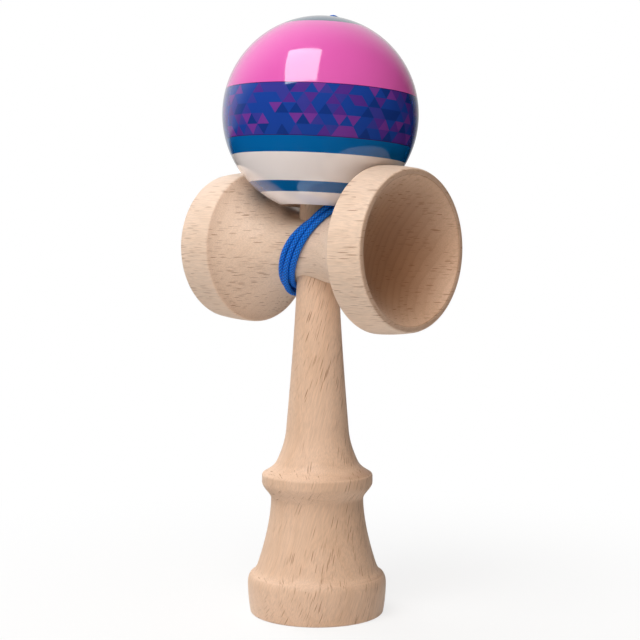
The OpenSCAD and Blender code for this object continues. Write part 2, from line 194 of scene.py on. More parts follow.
class StringSettings(bpy.types.PropertyGroup):
    """Size, lay and colours of the string."""

    width: length("String", "Diameter of the string in its winding", 0.0019)
    route_d: length("Route", "Diameter of the string over the ball, which its route leaves room for", 0.0015)
    pitch: length("Pitch", "Distance between neighbouring turns at the front and the back", 0.0026)
    strand_l: length("Braid step", "Length of one step of the braid", 0.0006)
    wide: number("Flattening", "Width of the string, drawn flat, to its diameter", 1.06, min=1.0)
    bright: colour("Bright", "Colour on the braid's strands", (0.0, 0.19, 0.84))
    # The glint colour is painted glints on the palest fibres.
    glint: colour("Glint", "Colour of the palest fibres", (0.01, 0.27, 0.90))
    # The colour between the strands is painted shade in the braid's gaps.
    dark: colour("Dark", "Colour between the braid's strands", (0.0, 0.03, 0.28))
    knot_width: length("Knot's strand", "Diameter of the string where it is drawn tight in a knot", 0.0011)
    bead_d: length("Bead", "Diameter of the bead", 0.008)
    bead_l: length("Bead length", "Length of the bead", 0.007)
    bead: colour("Bead colour", "Colour of the bead", (0.80, 0.77, 0.70))


class StageSettings(bpy.types.PropertyGroup):
    """Camera and studio light."""

    lens: number("Lens", "Focal length in millimetres", 87.37, min=1.0)
    key: power("Softbox", "Power of the softbox over the crosspiece's front", 7.5)
    panel: power("Panel", "Power of the broad panel behind the object, at the left", 8.8)
    fill: power("Fill", "Power of the weak fill above the camera", 3.0)
    panel_tint: colour("Panel's tint", "Colour of the broad panel", (0.94, 0.98, 1.0))
    fill_tint: colour("Fill's tint", "Colour of the weak fill", (1.0, 0.74, 0.52))
    ambient: number("Ambient", "Level of the light from all round", 0.10, min=0.0, max=1.0, subtype="FACTOR")


# Meshes

SMOOTH_ANGLE = 35.0
ALL_SMOOTH = 180.0
ON_AXIS = 1e-9


def add_mesh(name, points, faces, smooth_angle=SMOOTH_ANGLE):
    """A new object of these points and faces, smooth but for its sharp edges."""
    mesh = bpy.data.meshes.new(name)
    mesh.from_pydata([tuple(p) for p in points], [], faces)
    mesh.update()
    finish_mesh(mesh, smooth_angle)
    obj = bpy.data.objects.new(name, mesh)
    bpy.context.scene.collection.objects.link(obj)
    return obj


def finish_mesh(mesh, smooth_angle=SMOOTH_ANGLE):
    """Smooth shading with sharp edges where faces meet at more than the angle."""
    for polygon in mesh.polygons:
        polygon.use_smooth = True
    mesh.set_sharp_from_angle(angle=math.radians(smooth_angle))


def lathe(name, profile, sides, place=None, closed=False):
    """Turns a profile of (radius, height) points round the Z axis. The profile runs so that the outside is on
    its right hand going up. A closed profile makes a ring."""
    points, faces, rows = [], [], []
    for r, h in profile:
        if r < ON_AXIS:
            rows.append([len(points)] * sides)
            points.append((0.0, 0.0, h))
            continue
        rows.append(range(len(points), len(points) + sides))
        for k in range(sides):
            a = 2 * math.pi * k / sides
            points.append((r * math.cos(a), r * math.sin(a), h))
    count = len(rows)
    for i in range(count if closed else count - 1):
        low, high = rows[i], rows[(i + 1) % count]
        for k in range(sides):
            n = (k + 1) % sides
            corners = [low[k], low[n], high[n], high[k]]
            faces.append([c for j, c in enumerate(corners) if c not in corners[:j]])
    obj = add_mesh(name, points, faces)
    if place is not None:
        obj.matrix_world = place
    return obj


def cut(obj, cutter):
    """Cuts one object's form out of another and deletes the cutter."""
    modifier = obj.modifiers.new("cut", "BOOLEAN")
    modifier.operation = "DIFFERENCE"
    modifier.solver = "EXACT"
    modifier.object = cutter
    bpy.context.view_layer.update()
    graph = bpy.context.evaluated_depsgraph_get()
    mesh = bpy.data.meshes.new_from_object(obj.evaluated_get(graph))
    old = obj.data
    obj.modifiers.clear()
    obj.data = mesh
    bpy.data.meshes.remove(old)
    bpy.data.objects.remove(cutter)
    mesh.name = obj.name
    finish_mesh(mesh)
    if not mesh.polygons:
        raise RuntimeError(f"nothing is left of {obj.name} after a cut")


# Stretches of a profile or a route

EASE_POINTS = 4
BLEND_POINTS = 10


def steps(n):
    """n even steps that end at one."""
    return [i / n for i in range(1, n + 1)]


def straight(start, end, n):
    """n points on a straight line, up to its end."""
    return [(start[0] + (end[0] - start[0]) * t, start[1] + (end[1] - start[1]) * t) for t in steps(n)]


def arc(middle, radius, first, last, n):
    """Points on an arc, from the angle first to last in degrees, measured from the radius direction."""
    points = []
    for i in range(n + 1):
        a = math.radians(first + (last - first) * i / n)
        points.append((middle[0] + radius * math.cos(a), middle[1] + radius * math.sin(a)))
    return points


def bend(start, corner, end, n):
    """Points on a curve that turns from its start to its end inside a corner."""
    points = []
    for t in [0.0] + steps(n):
        points.append(tuple(start * (1 - t) ** 2 + corner * 2 * t * (1 - t) + end * t * t))
    return points


def eased(before, corner, after, reach):
    """A small rounding at a profile's corner."""
    corner = Vector(corner)
    start = corner + (Vector(before) - corner).normalized() * reach
    end = corner + (Vector(after) - corner).normalized() * reach
    return bend(start, corner, end, EASE_POINTS)


def blended(first, second, reach):
    """Two stretches of a profile that meet at the end of the first, with the corner between them rounded off
    over a reach on both sides."""
    corner = Vector(first[-1])
    before = [p for p in first if (Vector(p) - corner).length > reach]
    after = [p for p in second if (Vector(p) - corner).length > reach]
    return before + bend(Vector(before[-1]), corner, Vector(after[0]), BLEND_POINTS)[1:-1] + after


def curve(a, b, c, d, n):
    """Points on a cubic curve from a to d."""
    points = []
    for t in [0.0] + steps(n):
        points.append(a * (1 - t) ** 3 + b * (3 * t * (1 - t) ** 2) + c * (3 * t * t * (1 - t)) + d * t**3)
    return points


def settle(a, b, t, power):
    """A curve that leaves a steeply and settles at b."""
    return b + (a - b) * (1 - t) ** power


def level(t):
    """A curve that leaves 0 and reaches 1 levelly."""
    return t * t * (3 - 2 * t)


def cup_arc(rim_r, depth, n):
    """Profile of a hollow cup from its middle to its rim, as (radius, depth below the rim)."""
    ball_r = (rim_r * rim_r + depth * depth) / (2 * depth)
    last = math.asin(rim_r / ball_r)
    turns = [last * i / n for i in range(n + 1)]
    return [(ball_r * math.sin(a), ball_r * math.cos(a) - (ball_r - depth)) for a in turns]


# Outlines of the turned pieces

FOOT_POWER = 2.0
FLARE_POWER = 1.67
GRIP_POWER = 1.25
HEEL_POWER = 1.85
LIP_POWER = 2.0
SEAT_OVERRUN = 0.001
# Reach of the small roundings at the base cup's rim, the other cups' rims and the ball's countersink
FOOT_EASE, RIM_EASE, SINK_EASE = 0.0003, 0.00035, 0.0003
# Points along the stretches of the outlines
EDGE_POINTS, SKIN_POINTS, BORE_POINTS = 8, 96, 12
KEN_POINTS = {"cup": 24, "foot": 12, "shoulder": 18, "flare": 36, "cove": 24, "heel": 52, "grip": 48}
SPIKE_POINTS = {"seat": 8, "taper": 12, "nose": 12}
CROSS_POINTS = {"waist": 4, "bell": 40, "rim": 14, "cup": 32}
# Tries that find the edge of the ball's countersink
SINK_TRIES = 40


def seat_radius(ken, height):
    """Radius of the tapered seat at a height above the crosspiece's axis."""
    return ken.seat_d / 2 - height * math.tan(ken.seat_taper)


def ken_profile(ken, waist_r):
    """Outline of the ken from the middle of its base cup, round the foot and up to the tip of the spike."""
    base_r, foot_r = ken.base_d / 2, ken.foot_d / 2
    belly_z = ken.drum_h - ken.shoulder_h
    flare_r, neck_r, collar_r = base_r - ken.shoulder_w, ken.neck_d / 2, ken.collar_d / 2
    neck_z = ken.drum_h + ken.flare_h
    collar_top = neck_z + ken.cove_h + ken.collar_h
    reach = waist_r + SEAT_OVERRUN
    seat_low = (seat_radius(ken, -reach), SARADO_Z - reach)
    seat_high = (seat_radius(ken, reach), SARADO_Z + reach)
    nose_z = KEN_TIP - ken.nose_r
    cup_r = foot_r - ken.foot_round - ken.rim_w
    wrap = 90 - math.degrees(ken.collar_slope)
    edge_middle = (collar_r - ken.collar_round, collar_top - ken.collar_round)
    collar_edge = arc(edge_middle, ken.collar_round, 0, wrap, EDGE_POINTS)
    slope_run = (collar_top - collar_edge[-1][1]) / math.tan(ken.collar_slope)
    lip_w = max(0.0, collar_edge[-1][0] - slope_run - ken.grip_d / 2 - ken.heel_w)

    def grip(z):
        t = (z - collar_top) / (seat_low[1] - collar_top)
        heel = max(0.0, 1 - (z - collar_top) / ken.heel_h)
        lip = max(0.0, 1 - (z - collar_top) / ken.lip_h)
        taper = settle(ken.grip_d / 2, seat_low[0], t, GRIP_POWER)
        return taper + ken.heel_w * heel**HEEL_POWER + lip_w * lip**LIP_POWER, z

    hollow = cup_arc(cup_r, ken.cup_depth, KEN_POINTS["cup"])
    points = hollow[:-1]
    points += eased(hollow[-2], hollow[-1], (foot_r, 0.0), FOOT_EASE)
    points += arc((foot_r - ken.foot_round, ken.foot_round), ken.foot_round, -90, 0, EDGE_POINTS)
    belly_h = belly_z - ken.foot_round
    for t in steps(KEN_POINTS["foot"]):
        points.append((settle(foot_r, base_r, t, FOOT_POWER), ken.foot_round + belly_h * t))
    shoulder = []
    for t in steps(KEN_POINTS["shoulder"]):
        a = math.radians(90 * t)
        shoulder.append((flare_r + ken.shoulder_w * math.cos(a), belly_z + ken.shoulder_h * math.sin(a)))
    flare = []
    for t in steps(KEN_POINTS["flare"]):
        flare.append((settle(flare_r, neck_r, t, FLARE_POWER), ken.drum_h + ken.flare_h * t))
    points += blended(shoulder, flare, ken.flare_ease)
    for t in steps(KEN_POINTS["cove"]):
        points.append((neck_r + (collar_r - neck_r) * level(t), neck_z + ken.cove_h * t))
    points += collar_edge
    points += [grip(collar_top + ken.heel_h * t) for t in [0.0] + steps(KEN_POINTS["heel"])]
    tall = seat_low[1] - collar_top - ken.heel_h
    points += [grip(collar_top + ken.heel_h + tall * t) for t in steps(KEN_POINTS["grip"])]
    points += straight(seat_low, seat_high, SPIKE_POINTS["seat"])
    points += straight(seat_high, (ken.nose_r, nose_z), SPIKE_POINTS["taper"])
    points += arc((0.0, nose_z), ken.nose_r, 0, 90, SPIKE_POINTS["nose"])[1:-1]
    return points + [(0.0, KEN_TIP)]


def cup_sizes(cross, side):
    """A cup's shoulder, as place and radius, its rim's radius and its depth, on the big or small side."""
    names = ("shoulder_x", "shoulder_d", "rim_d", "cup_depth")
    shoulder_x, shoulder_d, rim_d, depth = (getattr(cross, f"{side}_{name}") for name in names)
    return shoulder_x, shoulder_d / 2, rim_d / 2, depth


def bell(cross, shoulder_x, shoulder_r):
    """The arc of a cup's bell beside the waist: its radius, its angle, and how far its shoulder wraps."""
    waist_r, half = cross.waist_d / 2, cross.waist_l / 2
    wrap = 2 * math.atan2(shoulder_r - cross.cup_round - waist_r, shoulder_x - half)
    edge_r = shoulder_r - cross.cup_round + cross.cup_round * math.cos(wrap)
    edge_x = shoulder_x - cross.cup_round * math.sin(wrap)
    turn = 2 * math.atan2(edge_r - waist_r, edge_x - half)
    return (edge_x - half) / math.sin(turn), turn, wrap


def half_profile(cross, side):
    """Outline of one side of the crosspiece from the waist round the rim to the middle of its cup."""
    shoulder_x, shoulder_r, rim_r, depth = cup_sizes(cross, side)
    waist_r, half, end = cross.waist_d / 2, cross.waist_l / 2, SARADO_LENGTH / 2
    edge_r = cross.cup_round
    radius, turn, wrap = bell(cross, shoulder_x, shoulder_r)
    points = straight((waist_r, 0.0), (waist_r, half), CROSS_POINTS["waist"])
    for t in steps(CROSS_POINTS["bell"]):
        points.append((waist_r + radius * (1 - math.cos(turn * t)), half + radius * math.sin(turn * t)))
    for t in steps(EDGE_POINTS):
        a = wrap * (1 - t)
        points.append((shoulder_r - edge_r * (1 - math.cos(a)), shoulder_x - edge_r * math.sin(a)))
    rest = end - edge_r - shoulder_x
    for t in steps(CROSS_POINTS["rim"]):
        points.append((shoulder_r - (shoulder_r - rim_r) * t * t, shoulder_x + rest * t))
    points += arc((rim_r - edge_r, end - edge_r), edge_r, 0, 90, EDGE_POINTS)[1:]
    inside = cup_arc(rim_r - cross.cup_wall, depth, CROSS_POINTS["cup"])
    hollow = [(r, end - d) for r, d in reversed(inside)]
    points += eased((rim_r, end), hollow[0], hollow[1], RIM_EASE)
    return points + hollow[1:]


def crosspiece_profile(cross):
    """Outline of the crosspiece from the middle of the small cup to the middle of the big cup."""
    small = [(r, -x) for r, x in reversed(half_profile(cross, "small"))]
    return small + [(cross.waist_d / 2, 0.0)] + half_profile(cross, "big")


def waist_surface(cross, x):
    """Radius of the waist and of the bells beside it at a distance from the ken's axis."""
    shoulder_x, shoulder_r, _, _ = cup_sizes(cross, "big" if x > 0 else "small")
    radius = bell(cross, shoulder_x, shoulder_r)[0]
    run = max(0.0, abs(x) - cross.waist_l / 2)
    return cross.waist_d / 2 + radius - math.sqrt(radius * radius - run * run)


def ball_place(ball):
    """The ball's own frame: its centre, with its axis along local Z."""
    return Matrix.Translation((0.0, ball.shift, ball.centre_z)) @ Matrix.Rotation(-ball.lean, 4, "X")


def ball_profile(ball):
    """Outline of the ball in two stretches: its lacquered skin from the mouth's edge to the countersink, and
    the bare wood from there through the holes and back to the mouth."""
    radius, bore_r, hole_r = ball.width / 2, ball.bore_d / 2, ball.hole_d / 2
    pocket_r, sink_r = ball.pocket_d / 2, ball.countersink_d / 2
    mouth_h = -math.sqrt(ball.width**2 / 4 - (bore_r + ball.bevel) ** 2)
    sink_low = radius - ball.countersink_depth
    slope = (sink_r - hole_r) / ball.countersink_depth
    sink_high = radius
    for _ in range(SINK_TRIES):
        sink_high = math.sqrt(radius * radius - (hole_r + slope * (sink_high - sink_low)) ** 2)
    first, last = (math.degrees(math.asin(h / radius)) for h in (mouth_h, sink_high))
    skin = arc((0.0, 0.0), radius, first, last, SKIN_POINTS)
    skin[-1:] = eased(skin[-2], skin[-1], (hole_r, sink_low), SINK_EASE)
    bore_top = mouth_h + ball.bore_depth
    top_r = bore_r - (ball.bore_depth - ball.bevel) * math.tan(ball.bore_taper)
    wood = [(hole_r, sink_low), (hole_r, ball.pocket_top)]
    wood += [(pocket_r, ball.pocket_top), (pocket_r, bore_top), (top_r, bore_top)]
    return skin, wood + straight((top_r, bore_top), (bore_r, mouth_h + ball.bevel), BORE_POINTS)


# Route of the string

TURNS = 3
LAY_GAP = 0.00025
PASS_GAP = 0.00055
BALL_GAP = 0.00005
NEST_PITCH = 0.0012
NEST_RISE = 0.00195
NEST_POWER = 2.0
INNER_TURN_SHARE = 0.75
FLATTEN_SHARE = 0.067
FRONT_X = -0.0002
LAY_TURNS = 0.12
LEAD_REACH = 0.0036
LAY_REACH = 0.0044
TOUCH_ANGLE = 126.0
TOUCH_X = -0.0036
OVER_REACH = 0.0044
RISE_REACH = 0.006
TOUCH_REACH = 0.009
DIP_REACH = 0.0023
TAIL_TOP = 0.025
END_KNOT_TOP = 0.01207
# Heights above the crosspiece's axis between which the string is drawn thinner for its run over the ball
RUN_THINS = (0.014, 0.020)
# Points along the route, and the steps that tell its direction, in turns and in degrees
CURVE_POINTS, TURN_POINTS, LAP_POINTS, DIP_POINTS = 24, 120, 72, 16
TURN_STEP = 1 / 192
LAP_STEP = 1


def string_route(cord, cross, ken, ball):
    """Middle line of the string: out of its hole, three turns round the waist, up the back of the ball and
    down through the ball's top hole to the knot under the bead."""
    cord_r = cord.route_d / 2
    seat_low_r = seat_radius(ken, -(cross.waist_d / 2 + SEAT_OVERRUN))
    inner = PASS_GAP + cord_r + INNER_TURN_SHARE * NEST_PITCH
    top_x, bottom_x = ken.seat_d / 2 + inner, -(seat_low_r + inner)
    back_x = -TURNS / 2 * cord.pitch

    def turn_point(turns):
        a = 2 * math.pi * turns
        across = (math.sin(a) - FLATTEN_SHARE * math.sin(3 * a)) / (1 + FLATTEN_SHARE)
        up = math.sin(a) ** 2
        pitch = NEST_PITCH * up + cord.pitch * (1 - up)
        x = (top_x + bottom_x) / 2 * up + (top_x - bottom_x) / 2 * across
        x += (back_x + FRONT_X) / 2 * (1 - up) + (back_x - FRONT_X) / 2 * math.cos(a)
        x += (TURNS / 2 - turns) * pitch
        rise = NEST_RISE * abs(math.sin(a)) ** NEST_POWER if 1 < turns < 2 else 0.0
        r = waist_surface(cross, x) + LAY_GAP + cord_r + rise
        return Vector((x, r * math.cos(a), SARADO_Z + r * math.sin(a)))

    def turn_direction(turns):
        return (turn_point(turns + TURN_STEP) - turn_point(turns - TURN_STEP)).normalized()

    lap_r = ball.width / 2 + cord_r + BALL_GAP
    over = math.degrees(math.asin(OVER_REACH / lap_r))

    def lap_point(a):
        x = TOUCH_X * (a - over) / (TOUCH_ANGLE - over)
        r = math.sqrt(lap_r * lap_r - x * x)
        tilt = math.radians(a) + ball.lean
        return Vector((x, ball.shift + r * math.sin(tilt), ball.centre_z + r * math.cos(tilt)))

    def lap_direction(a):
        return (lap_point(a - LAP_STEP) - lap_point(a + LAP_STEP)).normalized()

    # From the anchor knot through the hole and onto the waist
    mouth = Vector((0.0, cross.waist_d / 2 + LAY_GAP, SARADO_Z))
    lay = turn_point(LAY_TURNS)
    points = [Vector((0.0, cross.recess_y, SARADO_Z))]
    lead_on = mouth + Vector((0.0, LEAD_REACH, 0.0))
    lay_back = lay - LAY_REACH * turn_direction(LAY_TURNS)
    points += curve(mouth, lead_on, lay_back, lay, CURVE_POINTS)[:-1]

    # The turns, and the rise from the last one to the ball
    first = round(LAY_TURNS * TURN_POINTS)
    points += [turn_point(i / TURN_POINTS) for i in range(first, TURNS * TURN_POINTS + 1)]
    onward = turn_direction(TURNS)
    run_start = points[-1] + 2 * cord.route_d * onward
    run_on = run_start + RISE_REACH * onward
    touch = lap_point(TOUCH_ANGLE)
    touch_back = touch - TOUCH_REACH * lap_direction(TOUCH_ANGLE)
    points += curve(run_start, run_on, touch_back, touch, CURVE_POINTS)[:-1]

    # Up the ball's back and down through its top hole
    points += [lap_point(TOUCH_ANGLE + (over - TOUCH_ANGLE) * i / LAP_POINTS) for i in range(LAP_POINTS + 1)]
    place = ball_place(ball)
    run_end = place @ Vector((0.0, 0.0, TAIL_TOP + cord.route_d))
    axis = (place.to_3x3() @ Vector((0.0, 0.0, 1.0))).normalized()
    over_on = points[-1] + DIP_REACH * lap_direction(over)
    points += curve(points[-1], over_on, run_end + DIP_REACH * axis, run_end, DIP_POINTS)[1:]
    points.append(place @ Vector((0.0, 0.0, END_KNOT_TOP)))
    return points


def even_path(points, spacing):
    """The same line with points at an even spacing."""
    reach = [0.0]
    for a, b in zip(points, points[1:]):
        reach.append(reach[-1] + (b - a).length)
    count = max(2, round(reach[-1] / spacing))
    found, k = [], 0
    for i in range(count + 1):
        want = reach[-1] * i / count
        while k < len(points) - 2 and reach[k + 1] < want:
            k += 1
        t = (want - reach[k]) / max(1e-12, reach[k + 1] - reach[k])
        found.append(points[k].lerp(points[k + 1], min(1.0, max(0.0, t))))
    return found


# Steps of the braid round the string, and points of the mesh in each step
BRAID_STEPS = 12
POINTS_PER_STEP = 3
STRAND_RISE = 0.00007


def braided_tube(name, route, cord, width, closed=False, outward=None, drawn=None):
    """A braided string along a route: two sets of strands that cross, each riding over and under the other.
    It is flat across the outward direction that a function gives for a point, and as thin as the share of its
    width that another gives. Its UVs count the braid's steps, round the string and along it."""
    sides = BRAID_STEPS * POINTS_PER_STEP
    path = even_path(route, cord.strand_l / POINTS_PER_STEP)
    if closed:
        path = path[:-1]
    radius = width / 2 - STRAND_RISE / 2
    count = len(path)
    ways = []
    for i in range(count):
        before = path[i - 1] if i or closed else path[0]
        after = path[(i + 1) % count] if i < count - 1 or closed else path[-1]
        ways.append((after - before).normalized())
    normal = out = ways[0].orthogonal().normalized()
    points, faces, uvs = [], [], []
    for i in range(count):
        normal = (normal - ways[i] * normal.dot(ways[i])).normalized()
        side = ways[i].cross(normal)
        out = (out - ways[i] * out.dot(ways[i])).normalized()
        if outward:
            want = outward(path[i]).normalized()
            want -= ways[i] * want.dot(ways[i])
            out = (out * (1 - want.length) + (want if want.dot(out) > 0 else -want)).normalized()
        flat = ways[i].cross(out)
        tight_r = radius * drawn(path[i]) if drawn else radius
        for k in range(sides):
            u, v = k / POINTS_PER_STEP, i / POINTS_PER_STEP
            lift = abs(math.sin(math.pi * (u + v) / 2) * math.sin(math.pi * (u - v) / 2))
            r = tight_r + STRAND_RISE * (lift - 0.5)
            a = 2 * math.pi * k / sides
            offset = normal * (r * math.cos(a)) + side * (r * math.sin(a))
            if outward:
                offset = out * (offset.dot(out) / cord.wide) + flat * (offset.dot(flat) * cord.wide)
            points.append(path[i] + offset)
    for i in range(count if closed else count - 1):
        for k in range(sides):
            n, j = (k + 1) % sides, (i + 1) % count
            faces.append([i * sides + k, i * sides + n, j * sides + n, j * sides + k])
            u, v = k / POINTS_PER_STEP, i / POINTS_PER_STEP
            du = 1 / POINTS_PER_STEP
            uvs += [(u, v), (u + du, v), (u + du, v + du), (u, v + du)]
    if not closed:
        for first in (0, (count - 1) * sides):
            ring = list(range(first, first + sides))
            faces.append(ring[::-1] if first == 0 else ring)
            uvs += [(k / POINTS_PER_STEP, first / sides / POINTS_PER_STEP) for k in range(sides)]
    obj = add_mesh(name, points, faces, ALL_SMOOTH)
    layer = obj.data.uv_layers.new(name="braid")
    layer.data.foreach_set("uv", [x for uv in uvs for x in uv])
    return obj, path


# Node helpers


def feed(tree, sockets, values):
    """Links each of a node's inputs to a socket, or sets the input's own value."""
    for socket, value in zip(sockets, values):
        if isinstance(value, bpy.types.NodeSocket):
            tree.links.new(value, socket)
        elif socket.type == "RGBA":
            socket.default_value = (*value, 1.0)
        else:
            socket.default_value = value


def feed_named(tree, node, values):
    """Feeds a node's inputs by their names."""
    feed(tree, [node.inputs[name] for name in values], values.values())


def add_node(tree, kind, values=None, **settings):
    """A node with its settings and what its inputs are fed."""
    node = tree.nodes.new(kind)
    for name, value in settings.items():
        setattr(node, name, value)
    feed_named(tree, node, values or {})
    return node


def math_node(tree, operation, *values, clamp=False):
    """A Math node on sockets or numbers."""
    node = add_node(tree, "ShaderNodeMath", operation=operation, use_clamp=clamp)
    feed(tree, node.inputs, values)
    return node.outputs[0]


def vector_node(tree, operation, *values):
    """A Vector Math node on sockets or vectors."""
    node = add_node(tree, "ShaderNodeVectorMath", operation=operation)
    feed(tree, node.inputs, values)
    return node


def scaled(tree, vector, scale):
    """A vector times a scale for each axis."""
    return vector_node(tree, "MULTIPLY", vector, scale).outputs[0]


def mix_colour(tree, factor, a, b, blend="MIX"):
    """A colour Mix node on sockets or colours."""
    node = add_node(tree, "ShaderNodeMix", data_type="RGBA", blend_type=blend)
    feed(tree, (node.inputs[0], node.inputs[6], node.inputs[7]), (factor, a, b))
    return node.outputs[2]


def smooth_range(tree, value, low, high, out_low=0.0, out_high=1.0):
    """A smooth step of a value from one range to another."""
    node = add_node(tree, "ShaderNodeMapRange", interpolation_type="SMOOTHSTEP")
    feed(tree, node.inputs, (value, low, high, out_low, out_high))
    return node.outputs[0]


def noise(tree, vector, scale=1.0, detail=2.0, roughness=0.5):
    """A Noise Texture node on a vector."""
    values = {"Vector": vector, "Scale": scale, "Detail": detail, "Roughness": roughness}
    return add_node(tree, "ShaderNodeTexNoise", values)


def object_place(tree):
    """The place of a point in its object's own frame."""
    return tree.nodes.new("ShaderNodeTexCoord").outputs["Object"]


def cleared_tree(owner):
    """The node tree of a material or a world, without its nodes."""
    owner.use_nodes = True
    owner.node_tree.nodes.clear()
    return owner.node_tree


def new_material(name, kind="ShaderNodeBsdfPrincipled"):
    """A material with one shader, its node tree and that shader."""
    material = bpy.data.materials.new(name)
    tree = cleared_tree(material)
    shader = tree.nodes.new(kind)
    out = tree.nodes.new("ShaderNodeOutputMaterial")
    tree.links.new(shader.outputs[0], out.inputs[0])
    return material, tree, shader


def seen_rays(tree):
    """One for the rays that look, from the camera or by way of gloss or glass, and nought for the others."""
    path = tree.nodes.new("ShaderNodeLightPath").outputs
    seen = math_node(tree, "MAXIMUM", path["Is Camera Ray"], path["Is Glossy Ray"])
    return math_node(tree, "MAXIMUM", seen, path["Is Transmission Ray"])


# Materials

BEECH_SOCKETS = (
    ("INPUT", "NodeSocketVector", ("Vector", "Normal")),
    ("INPUT", "NodeSocketColor", ("Pale", "Warm")),
    ("INPUT", "NodeSocketFloat", ("Flecks", "End grain", "End start")),
    ("OUTPUT", "NodeSocketColor", ("Color",)),
    ("OUTPUT", "NodeSocketFloat", ("Roughness", "Height")),
)
# Place of the pith beside the board, and how far a slow noise bends the growth rings round it
PITH = (0.018, 0.062)
RING_BEND = 0.006
# Cells in a metre of the beech's noises, along X, Y and the grain
BEND_SCALE = (45.0, 45.0, 14.0)
TONE_SCALE = (70.0, 70.0, 16.0)
FIBRE_SCALE = (3200.0, 3200.0, 180.0)
ZONE_SCALE = (120.0, 120.0, 30.0)
# Part of a growth ring where late wood sets in and ends, and its weight in the shade of the wood
LATE_STARTS, LATE_ENDS = (0.45, 0.97), (0.97, 1.0)
LATE_SHADE, LATE_END_SHADE = 0.22, 0.30
# Flecks: how far they stray from straight rows, in cells, and how they crowd, end, vary and fade
FLECK_SWAY, SWAY_SCALE = (0.8, 0.3, 0.3), 0.35
FLECK_CROWD = (0.34, 0.68, 0.06, 0.75)
FLECK_EDGE = (0.44, 0.22)
FLECK_STRENGTH = (0.68, 0.16)
FLECK_FLAT = (0.65, 1.0, 1.0, 0.2)
# Weight and start of the broad tone, range of the fibres' shade, and what makes the wood rough and uneven
TONE_SHADE, END_TONE = (1.1, -0.35), 0.9
FIBRE_SHADE = (0.30, 0.70, 0.90, 1.07)
FIBRE_ROUGH, FLECK_ROUGH, FIBRE_HEIGHT = (0.16, 0.46), 0.2, 0.5
# The ball's mosaic: its tiles, the dark line round it, and where each tone starts among the tiles' lots
MOSAIC_COLUMNS, MOSAIC_ROWS = 44, 5
KEYLINE, KEYLINE_SHADE = 0.00022, 0.45
PLUM_SHIFT = (0.08, 0.01, 0.04)
TONE_STARTS = (0.0, 0.42, 0.58, 0.72, 0.88)
# Size of the lacquer's ripple, the braid's fuzz and the bead's mottle, and the ranges that they drive
RIPPLE_SCALE, FUZZ_SCALE, MOTTLE_SCALE = 160.0, 5.0, 900.0
NOISE_MIDDLE = (0.3, 0.7)
LACQUER_ROUGH = (0.10, 0.16)
GLINT_SHARE = (0.0, 0.35)
STRAND_EDGE = (0.02, 0.55)
STRING_ROUGH = (0.2, 0.45)
MOTTLE_SHADE = 0.85


